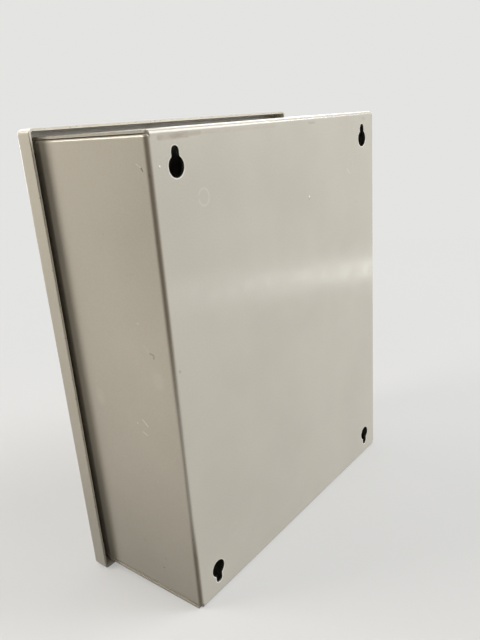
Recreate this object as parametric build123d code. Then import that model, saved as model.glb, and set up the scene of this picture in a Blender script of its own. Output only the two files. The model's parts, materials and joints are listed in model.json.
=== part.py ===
from build123d import *
import os

# Wall-mounted electrical enclosure: a folded steel body, an overlapping hinged door,
# a continuous hinge, a quarter-turn latch and a mounting panel on welded studs.
# Millimetres. +Z is up, the door faces -Y and the wall face is the plane Y = 0.
# The origin is the centre of the wall face, in the middle of the four keyholes.

# Body, one folded sheet
body_width = 254.0
body_height = 304.8
body_depth = 98.3  # wall face to the front of the lips
sheet = 1.5
bend_inner_radius = 0.6
lip_width = 12.0  # lips that turn inward round the door opening
tab_width = 12.0  # side wall tabs that turn in under the top and bottom walls
tab_seam = 0.2  # paint gap between a tab and the wall that it is welded to
tab_setback = 3.0  # tab's front end, from the front of the lips
corner_gap = 0.6  # closed rear corner to the notch of the top or bottom wall
mitre_gap = 0.3
weld_diameter = 5.0
welds_per_tab = 2

# Keyholes in the back
keyhole_inset_x = 20.0  # from the side wall to the lobe's centre
keyhole_inset_z = 20.0  # from the top or bottom to the lobe's centre
keyhole_lobe_diameter = 12.2
keyhole_slot_width = 6.2
keyhole_reach = 8.0  # lobe centre to the centre of the slot's round end

# Door, one folded pan that overlaps the body on all four sides
overhang_side = 6.4
overhang_top = 5.0
overhang_bottom = 3.8
door_flange = 12.7  # front face to the rear rim
door_corner_radius = 3.0
door_bend_inner_radius = 0.6

# Door seal, a foam strip inside the pan that faces the lips
seal_thickness = 3.0
seal_width = 9.0
seal_gap = 0.3  # seal to lips, door closed
seal_inset = 1.5  # seal's outer edge, in from the body's outer face
seal_corner_radius = 4.0
seal_edge_chamfer = 1.0

# Continuous hinge between the left side wall and the left door flange
hinge_length = 270.0
knuckle_count = 9
knuckle_end_gap = 0.3
hinge_sheet = 1.2
hinge_pin_diameter = 2.4
hinge_pin_clearance = 0.05  # radial
hinge_pin_chamfer = 0.3
hinge_side_clearance = 0.1  # knuckle to the side wall and to the flange
hinge_setback = 3.0  # pin centre, behind the door's rear rim
hinge_leaf_clearance = 0.25  # knuckle to the plate of the other leaf
body_leaf_reach = 16.0  # pin centre to the rear edge of the body leaf
door_leaf_reach = 12.6  # pin centre to the front edge of the door leaf
rivet_count = 4
rivet_end_inset = 20.0  # hinge end to the first rivet
rivet_shank_diameter = 3.2
rivet_head_diameter = 6.0
rivet_head_height = 1.3
rivet_crown_diameter = 3.4
rivet_tail_diameter = 4.8
rivet_tail_height = 1.2
rivet_clearance = 0.05
body_rivet_reach = 9.5  # pin centre to the rivet line on the body leaf
door_rivet_reach = 8.0  # pin centre to the rivet line on the door leaf

# Mounting panel on collar studs welded to the back
stud_inset_x = 39.7
stud_inset_z = 38.9
stud_diameter = 6.0
stud_thread_length = 13.0
stud_chamfer = 0.6
collar_diameter = 10.0
collar_length = 9.5
panel_border = 12.7  # panel edge, out from the studs' centres
panel_thickness = 2.0
panel_corner_radius = 6.0
panel_hole_clearance = 0.5
washer_diameter = 12.0
washer_thickness = 1.2
nut_across_flats = 10.0
nut_thickness = 5.0
nut_chamfer = 0.5
thread_clearance = 0.05

# Ground studs inside the body and the door
ground_stud_length = 18.0
ground_stud_y = -45.0
ground_stud_height = 42.0  # above the body's bottom
door_ground_inset_x = 34.0  # from the body's left side
door_ground_height = 42.0
star_washer_diameter = 11.0
star_washer_thickness = 0.8
star_slot_count = 10
star_slot_depth = 1.1
star_slot_width = 0.8

# Quarter-turn latch in the door
latch_inset = 29.0  # from the body's right side to the latch's centre
latch_height = 0.0  # above the middle of the body
bezel_diameter = 27.0
bezel_height = 4.0
bezel_edge_chamfer = 1.2
bezel_seal_thickness = 1.0
barrel_diameter = 20.0
barrel_flats = 17.6
barrel_hole_clearance = 0.15
latch_nut_across_flats = 25.4
latch_nut_thickness = 4.0
latch_nut_chamfer = 0.6
plug_diameter = 16.0  # front disc that the key turns
plug_thickness = 4.5
plug_recess = 0.8  # disc's face below the bezel
plug_fit = 0.05  # radial
key_slot_width = 2.2
key_slot_length = 11.0
key_slot_depth = 2.5
spindle_diameter = 11.0
spindle_square = 8.0
spindle_thread_diameter = 6.0
spindle_end = 0.8  # thread left past the nut
cam_thickness = 2.5
cam_gap = 0.5  # cam to the back of the lip
cam_hub_radius = 8.5
cam_tip_radius = 6.0
cam_reach = 24.5  # latch centre to the cam's tip
cam_hole_clearance = 0.05
barrel_to_cam = 0.2

# Worked out from the sizes above
half_width = body_width / 2
half_height = body_height / 2
bend_outer_radius = bend_inner_radius + sheet
tab_level = half_height - sheet - tab_seam
wall_end = tab_level - bend_outer_radius
door_inner_face = -(body_depth + seal_gap + seal_thickness)
door_front = door_inner_face - sheet
door_rim = door_front + door_flange
door_left = -(half_width + overhang_side)
flange_gap = overhang_side - sheet
knuckle_radius = flange_gap / 2 - hinge_side_clearance
hinge_x = -(half_width + flange_gap / 2)
hinge_y = door_rim + hinge_setback
knuckle_pitch = hinge_length / knuckle_count
rivet_pitch = (hinge_length - 2 * rivet_end_inset) / (rivet_count - 1)
rivet_levels = [rivet_end_inset - hinge_length / 2 + i * rivet_pitch for i in range(rivet_count)]
stud_x = half_width - stud_inset_x
stud_z = half_height - stud_inset_z
panel_back = -(sheet + collar_length)
panel_front = panel_back - panel_thickness
latch_x = half_width - latch_inset
cam_front = -(body_depth - sheet) + cam_gap
barrel_end = cam_front - barrel_to_cam
bezel_front = door_front - bezel_seal_thickness - bezel_height
plug_front = bezel_front + plug_recess
big = 2 * (body_width + body_height)


def folded_section(path, thickness, inner_radius, side):
    """Section of a folded sheet: the outer face's right-angled path and its inner offset."""
    points = [Vector(p) for p in path]
    normals = []
    for start, end in zip(points, points[1:]):
        along = (end - start).normalized()
        normals.append(Vector(-along.Y, along.X) * side * thickness)
    inner = [points[0] + normals[0]]
    for before, after, point in zip(normals, normals[1:], points[1:]):
        inner.append(point + before + after)
    inner.append(points[-1] + normals[-1])
    bends = len(points) - 2
    radii = [0] + [inner_radius + thickness] * bends + [0, 0] + [inner_radius] * bends + [0]
    return make_face(FilletPolyline(*points, *reversed(inner), radius=radii, close=True))


def slab(x_range, y_range, z_range):
    """Right-angled block between two values on each axis, used for plates and for cuts."""
    size = [high - low for low, high in (x_range, y_range, z_range)]
    low = (x_range[0], y_range[0], z_range[0])
    return Pos(*low) * Box(*size, align=(Align.MIN, Align.MIN, Align.MIN))


def four_corners(part):
    """The part in one corner, with its mirror images in the other three."""
    right = part + mirror(part, Plane.XY)
    return right + mirror(right, Plane.YZ)


def facing_front(x, y, z):
    """Place a piece that was made along +Z so that it points to the front, its X axis up."""
    return Plane(origin=(x, y, z), x_dir=(0, 0, 1), z_dir=(0, -1, 0))


def facing_back(x, y, z):
    return Plane(origin=(x, y, z), x_dir=(0, 0, 1), z_dir=(0, 1, 0))


def facing_right(x, y, z):
    return Plane(origin=(x, y, z), x_dir=(0, 0, 1), z_dir=(1, 0, 0))


def disc(diameter, height, start=0.0):
    """Cylinder along +Z that starts at a given height."""
    return Pos(0, 0, start) * extrude(Circle(diameter / 2), height)


def stud(diameter, length, chamfer_size):
    shank = disc(diameter, length)
    return chamfer(shank.edges().sort_by(Axis.Z)[-1], chamfer_size)


def washer(outer, bore, thickness):
    return extrude(Circle(outer / 2) - Circle(bore / 2), thickness)


def hex_nut(across_flats, thickness, bore, chamfer_size):
    """Hexagon nut whose corners are turned off on the face away from its washer."""
    corner_radius = RegularPolygon(across_flats / 2, 6, major_radius=False).radius
    prism = extrude(RegularPolygon(across_flats / 2, 6, major_radius=False), thickness)
    blank = disc(2 * corner_radius, thickness)
    blank = chamfer(blank.edges().filter_by(GeomType.CIRCLE).sort_by(Axis.Z)[-1], chamfer_size)
    return (prism & blank) - disc(bore, thickness)


def star_washer(outer, bore, thickness):
    """Toothed lock washer: a flat ring with a row of slots cut into its rim."""
    slot = Pos(outer / 2, 0) * Rectangle(2 * star_slot_depth, star_slot_width)
    slots = PolarLocations(0, star_slot_count) * slot
    return extrude(Circle(outer / 2) - Circle(bore / 2) - slots, thickness)


def rivet(grip):
    """Closed rivet along +Z: tapered head below zero, shank through the grip, flat tail beyond."""
    crown = rivet_crown_diameter / 2
    head = Pos(0, 0, -rivet_head_height / 2) * Cone(crown, rivet_head_diameter / 2, rivet_head_height)
    tail = disc(rivet_tail_diameter, rivet_tail_height, grip)
    return head + disc(rivet_shank_diameter, grip) + tail


def double_d(diameter, flats):
    """Round outline with two flats, which stops a barrel turning in its hole."""
    return Circle(diameter / 2) & Rectangle(flats, diameter)


def keyhole():
    """Keyhole outline in its own plane: lobe at the origin, slot towards +Y."""
    slot_end = Pos(0, keyhole_reach) * Circle(keyhole_slot_width / 2)
    neck = Pos(0, keyhole_reach / 2) * Rectangle(keyhole_slot_width, keyhole_reach)
    return Circle(keyhole_lobe_diameter / 2) + neck + slot_end


def side_rivet_holes(y):
    """Row of hinge rivet holes that runs through whatever lies on the left side."""
    drill = disc(rivet_shank_diameter + 2 * rivet_clearance, big)
    return [facing_right(-big / 2, y, z) * drill for z in rivet_levels]


def body_wrap():
    """Back, both side walls and their front lips, up to where the tabs begin."""
    lip_end = half_width - lip_width
    path = [
        (lip_end, -body_depth),
        (half_width, -body_depth),
        (half_width, 0),
        (-half_width, 0),
        (-half_width, -body_depth),
        (-lip_end, -body_depth),
    ]
    section = folded_section(path, sheet, bend_inner_radius, 1)
    wrap = Pos(0, 0, -wall_end) * extrude(section, 2 * wall_end)
    start = half_width - bend_outer_radius
    level = half_height - bend_outer_radius
    corner = Polyline(
        (start, level - mitre_gap),
        (lip_end - 1, level - mitre_gap - (start - lip_end + 1)),
        (lip_end - 1, half_height),
        (start, half_height),
        close=True,
    )
    return wrap - four_corners(lip_cut(corner))


def lip_cut(outline):
    """Cutter through the front lips only, from an outline drawn in X and Z."""
    plane = Plane(origin=(0, 1 - body_depth + bend_outer_radius, 0), x_dir=(1, 0, 0), z_dir=(0, -1, 0))
    return extrude(plane * make_face(outline), bend_outer_radius + 2)


def end_wall():
    """Top wall with its bend into the back and its front lip, notched round the rear corners."""
    path = [
        (0, wall_end - sheet),
        (0, half_height),
        (-body_depth, half_height),
        (-body_depth, half_height - lip_width),
    ]
    section = Plane.YZ * folded_section(path, sheet, bend_inner_radius, 1)
    wall = Pos(-half_width, 0, 0) * extrude(section, body_width)
    notch_size = bend_outer_radius + corner_gap
    notch = slab(
        (half_width - notch_size, half_width + 1),
        (-notch_size, 1),
        (wall_end - 2 * sheet, half_height + 1),
    )
    level = half_height - bend_outer_radius
    low = half_height - lip_width - 1
    start = half_width - bend_outer_radius
    mitre = Polyline(
        (half_width + 1, level),
        (start, level),
        (start - (level - low), low),
        (half_width + 1, low),
        close=True,
    )
    cuts = notch + lip_cut(mitre)
    return wall - cuts - mirror(cuts, Plane.YZ)


def side_tab():
    """Tab at the top of the right side wall: a bend and a strip under the top wall."""
    path = [
        (half_width, wall_end - sheet),
        (half_width, tab_level),
        (half_width - tab_width, tab_level),
    ]
    section = folded_section(path, sheet, bend_inner_radius, 1)
    length = body_depth - bend_outer_radius - tab_setback
    start = Plane(origin=(0, -bend_outer_radius, 0), x_dir=(1, 0, 0), z_dir=(0, -1, 0))
    tab = extrude(start * section, length)
    middle_x = half_width - (tab_width + bend_outer_radius) / 2
    for i in range(welds_per_tab):
        weld_y = -bend_outer_radius - length * (i + 0.5) / welds_per_tab
        tab += Pos(middle_x, weld_y, 0) * disc(weld_diameter, tab_seam, tab_level)
    return tab


def closed_corner():
    """Hollow eighth of a ball where the side wall's rear bend runs into its tab's bend."""
    ring = Circle(bend_outer_radius) - Circle(bend_inner_radius)
    quarter = ring & Rectangle(big, big, align=(Align.MIN, Align.MIN))
    ball = revolve(Plane.XZ * quarter, axis=Axis.Z, revolution_arc=90)
    return Pos(half_width - bend_outer_radius, -bend_outer_radius, wall_end) * ball


def body_shell():
    """The whole body as one folded and spot-welded sheet."""
    top = end_wall()
    corners = four_corners(side_tab() + closed_corner())
    shell = body_wrap() + top + mirror(top, Plane.XY) + corners
    lobe_x = half_width - keyhole_inset_x
    lobe_z = half_height - keyhole_inset_z
    outline = Plane(origin=(lobe_x, 1, lobe_z), x_dir=(1, 0, 0), z_dir=(0, -1, 0)) * keyhole()
    shell -= four_corners(extrude(outline, sheet + 2))
    for hole in side_rivet_holes(hinge_y + body_rivet_reach):
        shell -= hole & slab((-half_width - 1, -half_width + 2 * sheet), (-big, big), (-big, big))
    return shell


def door_panel():
    """Front skin and four flanges with rounded bends, open to the rear."""
    low = (door_left, door_front, -half_height - overhang_bottom)
    high = (-door_left, door_rim, half_height + overhang_top)
    outer = slab(*zip(low, high))
    outer = fillet(outer.edges().filter_by(Axis.Y), door_corner_radius)
    outer = fillet(outer.faces().sort_by(Axis.Y)[0].edges(), door_bend_inner_radius + sheet)
    inner = slab(
        (low[0] + sheet, high[0] - sheet),
        (door_inner_face, door_rim + 1),
        (low[2] + sheet, high[2] - sheet),
    )
    inner = fillet(inner.edges().filter_by(Axis.Y), door_corner_radius - sheet)
    inner = fillet(inner.faces().sort_by(Axis.Y)[0].edges(), door_bend_inner_radius)
    hole = double_d(barrel_diameter + 2 * barrel_hole_clearance, barrel_flats + 2 * barrel_hole_clearance)
    latch_hole = facing_front(latch_x, door_inner_face + 1, latch_height) * extrude(hole, sheet + 2)
    pan = outer - inner - latch_hole
    for hole in side_rivet_holes(hinge_y - door_rivet_reach):
        pan -= hole & slab((door_left - 1, door_left + 2 * sheet), (-big, big), (-big, big))
    return pan


def door_seal():
    outer = RectangleRounded(
        body_width - 2 * seal_inset,
        body_height - 2 * seal_inset,
        seal_corner_radius + seal_width,
    )
    inner = RectangleRounded(
        body_width - 2 * (seal_inset + seal_width),
        body_height - 2 * (seal_inset + seal_width),
        seal_corner_radius,
    )
    start = Plane(origin=(0, door_inner_face, 0), x_dir=(1, 0, 0), z_dir=(0, 1, 0))
    strip = extrude(start * (outer - inner), seal_thickness)
    return chamfer(strip.faces().sort_by(Axis.Y)[-1].edges(), seal_edge_chamfer)


def knuckle_levels(first):
    """Lower ends of every second knuckle, counted from the bottom."""
    start = -hinge_length / 2
    return [start + i * knuckle_pitch for i in range(first, knuckle_count, 2)]


def hinge_leaf(first_knuckle, face_x, thickness_side, reach, rivet_reach, direction):
    """Leaf plate against its wall, with its rolled knuckles round the pin."""
    edge = hinge_y + direction * (knuckle_radius + hinge_leaf_clearance)
    x_range = sorted((face_x, face_x + thickness_side * hinge_sheet))
    plate = slab(
        x_range,
        sorted((edge, hinge_y + direction * reach)),
        (-hinge_length / 2, hinge_length / 2),
    )
    barrel = Pos(hinge_x, hinge_y) * Circle(knuckle_radius)
    neck_low, neck_high = sorted((hinge_y, edge))
    neck = Pos(sum(x_range) / 2, (neck_low + neck_high) / 2) * Rectangle(hinge_sheet, neck_high - neck_low)
    bore = Pos(hinge_x, hinge_y) * Circle(hinge_pin_diameter / 2 + hinge_pin_clearance)
    roll = extrude(barrel + neck - bore, knuckle_pitch - knuckle_end_gap)
    leaf = plate
    for level in knuckle_levels(first_knuckle):
        leaf += Pos(0, 0, level + knuckle_end_gap / 2) * roll
    for hole in side_rivet_holes(hinge_y + direction * rivet_reach):
        leaf -= hole & slab((x_range[0] - 1, x_range[1] + 1), (-big, big), (-big, big))
    return leaf


def hinge_pin():
    pin = Pos(hinge_x, hinge_y, -hinge_length / 2) * disc(hinge_pin_diameter, hinge_length)
    return chamfer(pin.edges().filter_by(GeomType.CIRCLE), hinge_pin_chamfer)


def rivet_row(outside_x, y, grip):
    """Rivets with their heads outside, pointing to the right through leaf and wall."""
    return [facing_right(outside_x, y, z) * rivet(grip) for z in rivet_levels]


def at_studs(make, y):
    """One copy of a piece at each of the four panel studs."""
    return [
        facing_front(x, y, z) * make
        for x in (-stud_x, stud_x)
        for z in (-stud_z, stud_z)
    ]


def mounting_panel():
    width = 2 * (stud_x + panel_border)
    height = 2 * (stud_z + panel_border)
    outline = RectangleRounded(width, height, panel_corner_radius)
    hole = Circle(stud_diameter / 2 + panel_hole_clearance)
    for x in (-stud_x, stud_x):
        for z in (-stud_z, stud_z):
            outline -= Pos(x, z) * hole
    start = Plane(origin=(0, panel_back, 0), x_dir=(1, 0, 0), z_dir=(0, -1, 0))
    return extrude(start * outline, panel_thickness)


def collar_stud():
    """Welded stud: a collar that spaces the panel and a threaded end past it."""
    thread = Pos(0, 0, collar_length) * stud(stud_diameter, panel_thickness + stud_thread_length, stud_chamfer)
    return disc(collar_diameter, collar_length) + thread


def latch_housing():
    """Bezel in front of the door and a flatted barrel through it, bored for the plug."""
    bezel = disc(bezel_diameter, bezel_height)
    bezel = chamfer(bezel.edges().sort_by(Axis.Z)[0], bezel_edge_chamfer)
    barrel_length = barrel_end - bezel_front - bezel_height
    barrel = Pos(0, 0, bezel_height) * extrude(double_d(barrel_diameter, barrel_flats), barrel_length)
    bore = disc(spindle_diameter + 2 * plug_fit, big)
    counterbore = disc(plug_diameter + 2 * plug_fit, plug_recess + plug_thickness + plug_fit)
    return facing_back(latch_x, bezel_front, latch_height) * (bezel + barrel - bore - counterbore)


def latch_plug():
    """Slotted disc, round stem, square for the cam and a threaded end, turned in one piece."""
    stem_length = cam_front - plug_front - barrel_to_cam / 2
    square_length = cam_thickness + barrel_to_cam / 2 - cam_hole_clearance
    thread_length = cam_hole_clearance + washer_thickness + nut_thickness + spindle_end
    plug = disc(plug_diameter, plug_thickness) + disc(spindle_diameter, stem_length)
    square = extrude(Rectangle(spindle_square, spindle_square), square_length)
    plug += Pos(0, 0, stem_length) * square
    thread = stud(spindle_thread_diameter, thread_length, stud_chamfer)
    plug += Pos(0, 0, stem_length + square_length) * thread
    slot = extrude(SlotOverall(key_slot_length, key_slot_width), key_slot_depth)
    return facing_back(latch_x, plug_front, latch_height) * (plug - slot)


def latch_cam():
    """Flat tapered arm that hangs down when the latch is open."""
    tip_centre = cam_reach - cam_tip_radius
    hub = Circle(cam_hub_radius)
    tip = Pos(-tip_centre, 0) * Circle(cam_tip_radius)
    hole = Rectangle(spindle_square + 2 * cam_hole_clearance, spindle_square + 2 * cam_hole_clearance)
    outline = make_hull(hub.edges() + tip.edges()) - hole
    return facing_back(latch_x, cam_front, latch_height) * extrude(outline, cam_thickness)


stud_bore = stud_diameter + 2 * thread_clearance
spindle_bore = spindle_thread_diameter + 2 * thread_clearance
plain_washer = washer(washer_diameter, stud_bore, washer_thickness)
plain_nut = hex_nut(nut_across_flats, nut_thickness, stud_bore, nut_chamfer)
toothed_washer = star_washer(star_washer_diameter, stud_bore, star_washer_thickness)
ground_pin = stud(stud_diameter, ground_stud_length, stud_chamfer)

ground_x = -half_width + sheet
ground_z = -half_height + ground_stud_height
door_ground_x = -half_width + door_ground_inset_x
door_ground_z = -half_height + door_ground_height
cam_back = cam_front + cam_thickness
latch_nut_blank = hex_nut(
    latch_nut_across_flats,
    latch_nut_thickness,
    barrel_diameter + 2 * thread_clearance,
    latch_nut_chamfer,
)
bezel_seal = washer(bezel_diameter, barrel_diameter + 2 * barrel_hole_clearance, bezel_seal_thickness)

nodes = {
    "body_shell": [body_shell()],
    "mounting_panel": [mounting_panel()],
    "panel_studs": at_studs(collar_stud(), -sheet),
    "panel_washers": at_studs(plain_washer, panel_front),
    "panel_nuts": at_studs(plain_nut, panel_front - washer_thickness),
    "ground_stud": [facing_right(ground_x, ground_stud_y, ground_z) * ground_pin],
    "ground_washer": [facing_right(ground_x, ground_stud_y, ground_z) * toothed_washer],
    "ground_nut": [
        facing_right(ground_x + star_washer_thickness, ground_stud_y, ground_z) * plain_nut
    ],
    "hinge_body_leaf": [hinge_leaf(0, -half_width, -1, body_leaf_reach, body_rivet_reach, 1)],
    "hinge_door_leaf": [
        hinge_leaf(1, door_left + sheet, 1, door_leaf_reach, door_rivet_reach, -1)
    ],
    "hinge_pin": [hinge_pin()],
    "hinge_body_rivets": rivet_row(
        -half_width - hinge_sheet, hinge_y + body_rivet_reach, hinge_sheet + sheet
    ),
    "hinge_door_rivets": rivet_row(door_left, hinge_y - door_rivet_reach, hinge_sheet + sheet),
    "door_panel": [door_panel()],
    "door_seal": [door_seal()],
    "door_ground_stud": [facing_back(door_ground_x, door_inner_face, door_ground_z) * ground_pin],
    "door_ground_washer": [
        facing_back(door_ground_x, door_inner_face, door_ground_z) * toothed_washer
    ],
    "door_ground_nut": [
        facing_back(door_ground_x, door_inner_face + star_washer_thickness, door_ground_z) * plain_nut
    ],
    "latch_housing": [latch_housing()],
    "latch_bezel_seal": [
        facing_back(latch_x, door_front - bezel_seal_thickness, latch_height) * bezel_seal
    ],
    "latch_nut": [facing_back(latch_x, door_inner_face, latch_height) * latch_nut_blank],
    "latch_plug": [latch_plug()],
    "latch_cam": [latch_cam()],
    "latch_cam_washer": [
        facing_back(latch_x, cam_back, latch_height)
        * washer(washer_diameter, spindle_bore, washer_thickness)
    ],
    "latch_cam_nut": [
        facing_back(latch_x, cam_back + washer_thickness, latch_height)
        * hex_nut(nut_across_flats, nut_thickness, spindle_bore, nut_chamfer)
    ],
}

os.makedirs("parts", exist_ok=True)
for name, pieces in nodes.items():
    solids = [solid for piece in pieces for solid in piece.solids()]
    export_step(Compound(solids) if len(solids) > 1 else solids[0], f"parts/{name}.step")
    print(name, len(solids), round(sum(solid.volume for solid in solids), 1))
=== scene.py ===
# %% [markdown]
# # A wall-mounted electrical enclosure
# The object is a box of folded sheet steel in light grey paint. It hangs on a wall by four keyholes in
# its back, and a door with a continuous hinge and a quarter-turn latch closes its front.
# The pieces come ready made from the CAD model. Blender gives them their light, their paint, plating
# and wear, and it makes the threads and the domed rivet heads that the CAD model leaves plain.
# Everything is in metres, in the CAD model's own frame: the wall is the plane y = 0, +Z is up, and the
# door faces -Y.

# %% Load the frame
import json
import math

import bpy
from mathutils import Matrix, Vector


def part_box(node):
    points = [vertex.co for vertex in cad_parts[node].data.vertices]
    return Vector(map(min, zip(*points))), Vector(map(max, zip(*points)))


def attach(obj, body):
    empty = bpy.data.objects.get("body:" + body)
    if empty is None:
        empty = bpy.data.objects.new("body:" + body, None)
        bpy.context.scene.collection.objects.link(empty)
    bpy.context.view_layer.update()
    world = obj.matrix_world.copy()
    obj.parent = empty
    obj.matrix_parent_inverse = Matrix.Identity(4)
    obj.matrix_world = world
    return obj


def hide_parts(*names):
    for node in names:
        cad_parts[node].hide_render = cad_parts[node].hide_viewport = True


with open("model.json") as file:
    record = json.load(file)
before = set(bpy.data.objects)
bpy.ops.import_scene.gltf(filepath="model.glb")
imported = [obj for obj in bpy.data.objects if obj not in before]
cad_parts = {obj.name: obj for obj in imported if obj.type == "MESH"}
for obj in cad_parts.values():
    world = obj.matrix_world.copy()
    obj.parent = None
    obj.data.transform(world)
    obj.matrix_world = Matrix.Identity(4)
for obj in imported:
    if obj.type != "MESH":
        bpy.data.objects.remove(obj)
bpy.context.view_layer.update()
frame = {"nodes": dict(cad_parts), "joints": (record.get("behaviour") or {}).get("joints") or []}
MM = 0.001

# %% [markdown]
# ## The camera
# The photograph was taken by hand from behind the box, above its right side and a little tilted. Its
# place and angles can be found by eye, but straight edges give them better: a pinhole camera was
# fitted to the edges of the back, the side and the door. The small shift is the same fit's picture
# centre, so the whole box lands where the photograph has it.

# %% Camera
CAMERA_PLACE = Vector((350.4, 234.8, 154.4)) * MM
CAMERA_TURN = [math.radians(angle) for angle in (71.05, 4.07, 127.401)]
LENS_LENGTH = 34.125     # in millimetres, as Blender wants it
PICTURE_SHIFT = (-0.0087, 0.0097)
NEAREST_SEEN = 10 * MM
camera = bpy.data.objects.new("camera", bpy.data.cameras.new("camera"))
bpy.context.scene.collection.objects.link(camera)
camera.location = CAMERA_PLACE
camera.rotation_euler = CAMERA_TURN
camera.data.lens = LENS_LENGTH
camera.data.shift_x, camera.data.shift_y = PICTURE_SHIFT
camera.data.clip_start = NEAREST_SEEN
bpy.context.scene.camera = camera
bpy.context.scene.view_settings.view_transform = "Standard"
print("camera", round(camera.location.length, 3), "m from the wall face's centre")

# %% [markdown]
# ## A helper for node trees
# Materials and Geometry Nodes are both trees of small nodes. Writing each node as four or five lines
# hides the idea, so one helper adds a node, sets it and links it in a single readable call. The other
# helpers are the few sums that nearly every finish needs.

# %% Node helpers


def add(tree, kind, inputs=None, **settings):
    """Adds a node, changes its settings, and links or sets its inputs by name or number."""
    node = tree.nodes.new(kind)
    for name, value in settings.items():
        setattr(node, name, value)
    for name, value in (inputs or {}).items():
        if isinstance(value, bpy.types.NodeSocket):
            tree.links.new(value, node.inputs[name])
        else:
            node.inputs[name].default_value = value
    return node


def calc(tree, operation, *values):
    """A Math node's result."""
    return add(tree, "ShaderNodeMath", dict(enumerate(values)), operation=operation).outputs[0]


def vector(tree, operation, *values):
    """A Vector Math node's result, a number where the operation gives one."""
    node = add(tree, "ShaderNodeVectorMath", dict(enumerate(values)), operation=operation)
    return node.outputs["Value" if operation in ("DISTANCE", "LENGTH", "DOT_PRODUCT") else "Vector"]


def span(tree, value, low, high, at_low=0.0, at_high=1.0, smooth=True):
    """Turns a value that goes from low to high into one that goes from at_low to at_high."""
    sizes = {"Value": value, "From Min": low, "From Max": high, "To Min": at_low, "To Max": at_high}
    kind = "SMOOTHSTEP" if smooth else "LINEAR"
    return add(tree, "ShaderNodeMapRange", sizes, interpolation_type=kind).outputs[0]


def noise(tree, place, scale, detail=2.0, roughness=0.5):
    """Smooth noise between 0 and 1, with scale waves to the metre."""
    sizes = {"Vector": place, "Scale": scale, "Detail": detail, "Roughness": roughness}
    return add(tree, "ShaderNodeTexNoise", sizes).outputs[0]


def lay(tree, factor, below, above, kind="MIX"):
    """Colour above laid over colour below, as far as factor says."""
    sizes = {0: factor, 6: below, 7: above}
    return add(tree, "ShaderNodeMix", sizes, data_type="RGBA", blend_type=kind).outputs[2]


def seen(red, green, blue):
    """A colour as a picture shows it, from 0 to 255, as the light values that Blender works in."""
    def light(level):
        """One channel, by the curve that screens use."""
        part = level / 255
        return part / 12.92 if part <= 0.04045 else ((part + 0.055) / 1.055) ** 2.4
    return (light(red), light(green), light(blue), 1.0)


def grey(level):
    """A grey that gives back this share of the light."""
    return (level, level, level, 1.0)


print("mid grey as light:", round(seen(128, 128, 128)[0], 3))

# %% [markdown]
# ## The floor
# The box is made to hang, but the photograph has it standing upright. The door is larger than the box,
# so it stands on the rear edge of the door's lower flange and on the bend at the foot of its back.
# A level floor at the lowest point would be simpler, but the back's foot would hang in the air. So the
# floor is the plane through those two, tilted a little, and the box itself stays as it is.

# %% Floor
BEND_RADIUS = 2.1 * MM
FLOOR_REACH = 6.0
shell_low, shell_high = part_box("body_shell")
door_low, door_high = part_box("door_panel")
heel = Vector((0, door_high.y, door_low.z))
bend = Vector((0, shell_high.y - BEND_RADIUS, shell_low.z + BEND_RADIUS))
across = bend - heel
floor_tilt = math.atan2(across.z, across.y) - math.asin(BEND_RADIUS / across.length)
along = Vector((0, math.cos(floor_tilt), math.sin(floor_tilt)))
floor_mesh = bpy.data.meshes.new("floor")
corners = [heel + Vector((x, 0, 0)) + along * y for x, y in ((-1, -1), (1, -1), (1, 1), (-1, 1))]
corners = [heel + (corner - heel) * FLOOR_REACH for corner in corners]
floor_mesh.from_pydata(corners, [], [(0, 1, 2, 3)])
floor = bpy.data.objects.new("floor", floor_mesh)
bpy.context.scene.collection.objects.link(floor)
print("floor tilted by", round(math.degrees(floor_tilt), 2), "degrees")

# %% [markdown]
# ## Pale floor, pale background
# A pale floor would throw light up at the walls and flatten them, while the walls in the photograph
# have strong contrast. Light Path tells the rays apart: the camera and the reflections see the floor
# and the backdrop pale, and the light that bounces off them to the walls is weak.
# The floor glows a little and fades into the backdrop with distance, so no horizon shows, and close to
# the box it is matt enough to keep the shadow.

# %% Floor and backdrop materials
PALE = seen(228, 228, 226)
FLOOR_GLOW = 0.42
FLOOR_PAINT = 0.58
BOUNCE_PAINT = 0.10
FADE_FROM, FADE_TO = 0.15, 1.3
BACKDROP_FILL = 0.06


def looked_at(tree):
    """1 where the camera, a reflection or a view through something looks, and 0 for bounced light."""
    light = add(tree, "ShaderNodeLightPath").outputs
    looks = calc(tree, "MAXIMUM", light["Is Camera Ray"], light["Is Glossy Ray"])
    return calc(tree, "MAXIMUM", looks, light["Is Transmission Ray"])


cover = bpy.data.materials.new("pale_floor")
cover.use_nodes = True
tree = cover.node_tree
tree.nodes.clear()
place = add(tree, "ShaderNodeTexCoord").outputs["Object"]
far = span(tree, vector(tree, "LENGTH", place), FADE_FROM, FADE_TO, FLOOR_GLOW, 1.0)
matt = add(tree, "ShaderNodeBsdfDiffuse", {"Color": grey(FLOOR_PAINT)})
glow = add(tree, "ShaderNodeEmission", {"Color": PALE})
dark = add(tree, "ShaderNodeBsdfDiffuse", {"Color": grey(BOUNCE_PAINT)})
shown = add(tree, "ShaderNodeMixShader", {0: far, 1: matt.outputs[0], 2: glow.outputs[0]})
whole = add(tree, "ShaderNodeMixShader", {0: looked_at(tree), 1: dark.outputs[0], 2: shown.outputs[0]})
add(tree, "ShaderNodeOutputMaterial", {"Surface": whole.outputs[0]})
floor_mesh.materials.append(cover)

world = bpy.data.worlds.new("backdrop")
bpy.context.scene.world = world
world.use_nodes = True
tree = world.node_tree
tree.nodes.clear()
strength = span(tree, looked_at(tree), 0.0, 1.0, BACKDROP_FILL, 1.0, smooth=False)
sky = add(tree, "ShaderNodeBackground", {"Color": PALE, "Strength": strength})
add(tree, "ShaderNodeOutputWorld", {"Surface": sky.outputs[0]})
print("bounced light finds paint of", BOUNCE_PAINT, "and a backdrop of", BACKDROP_FILL)

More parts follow.
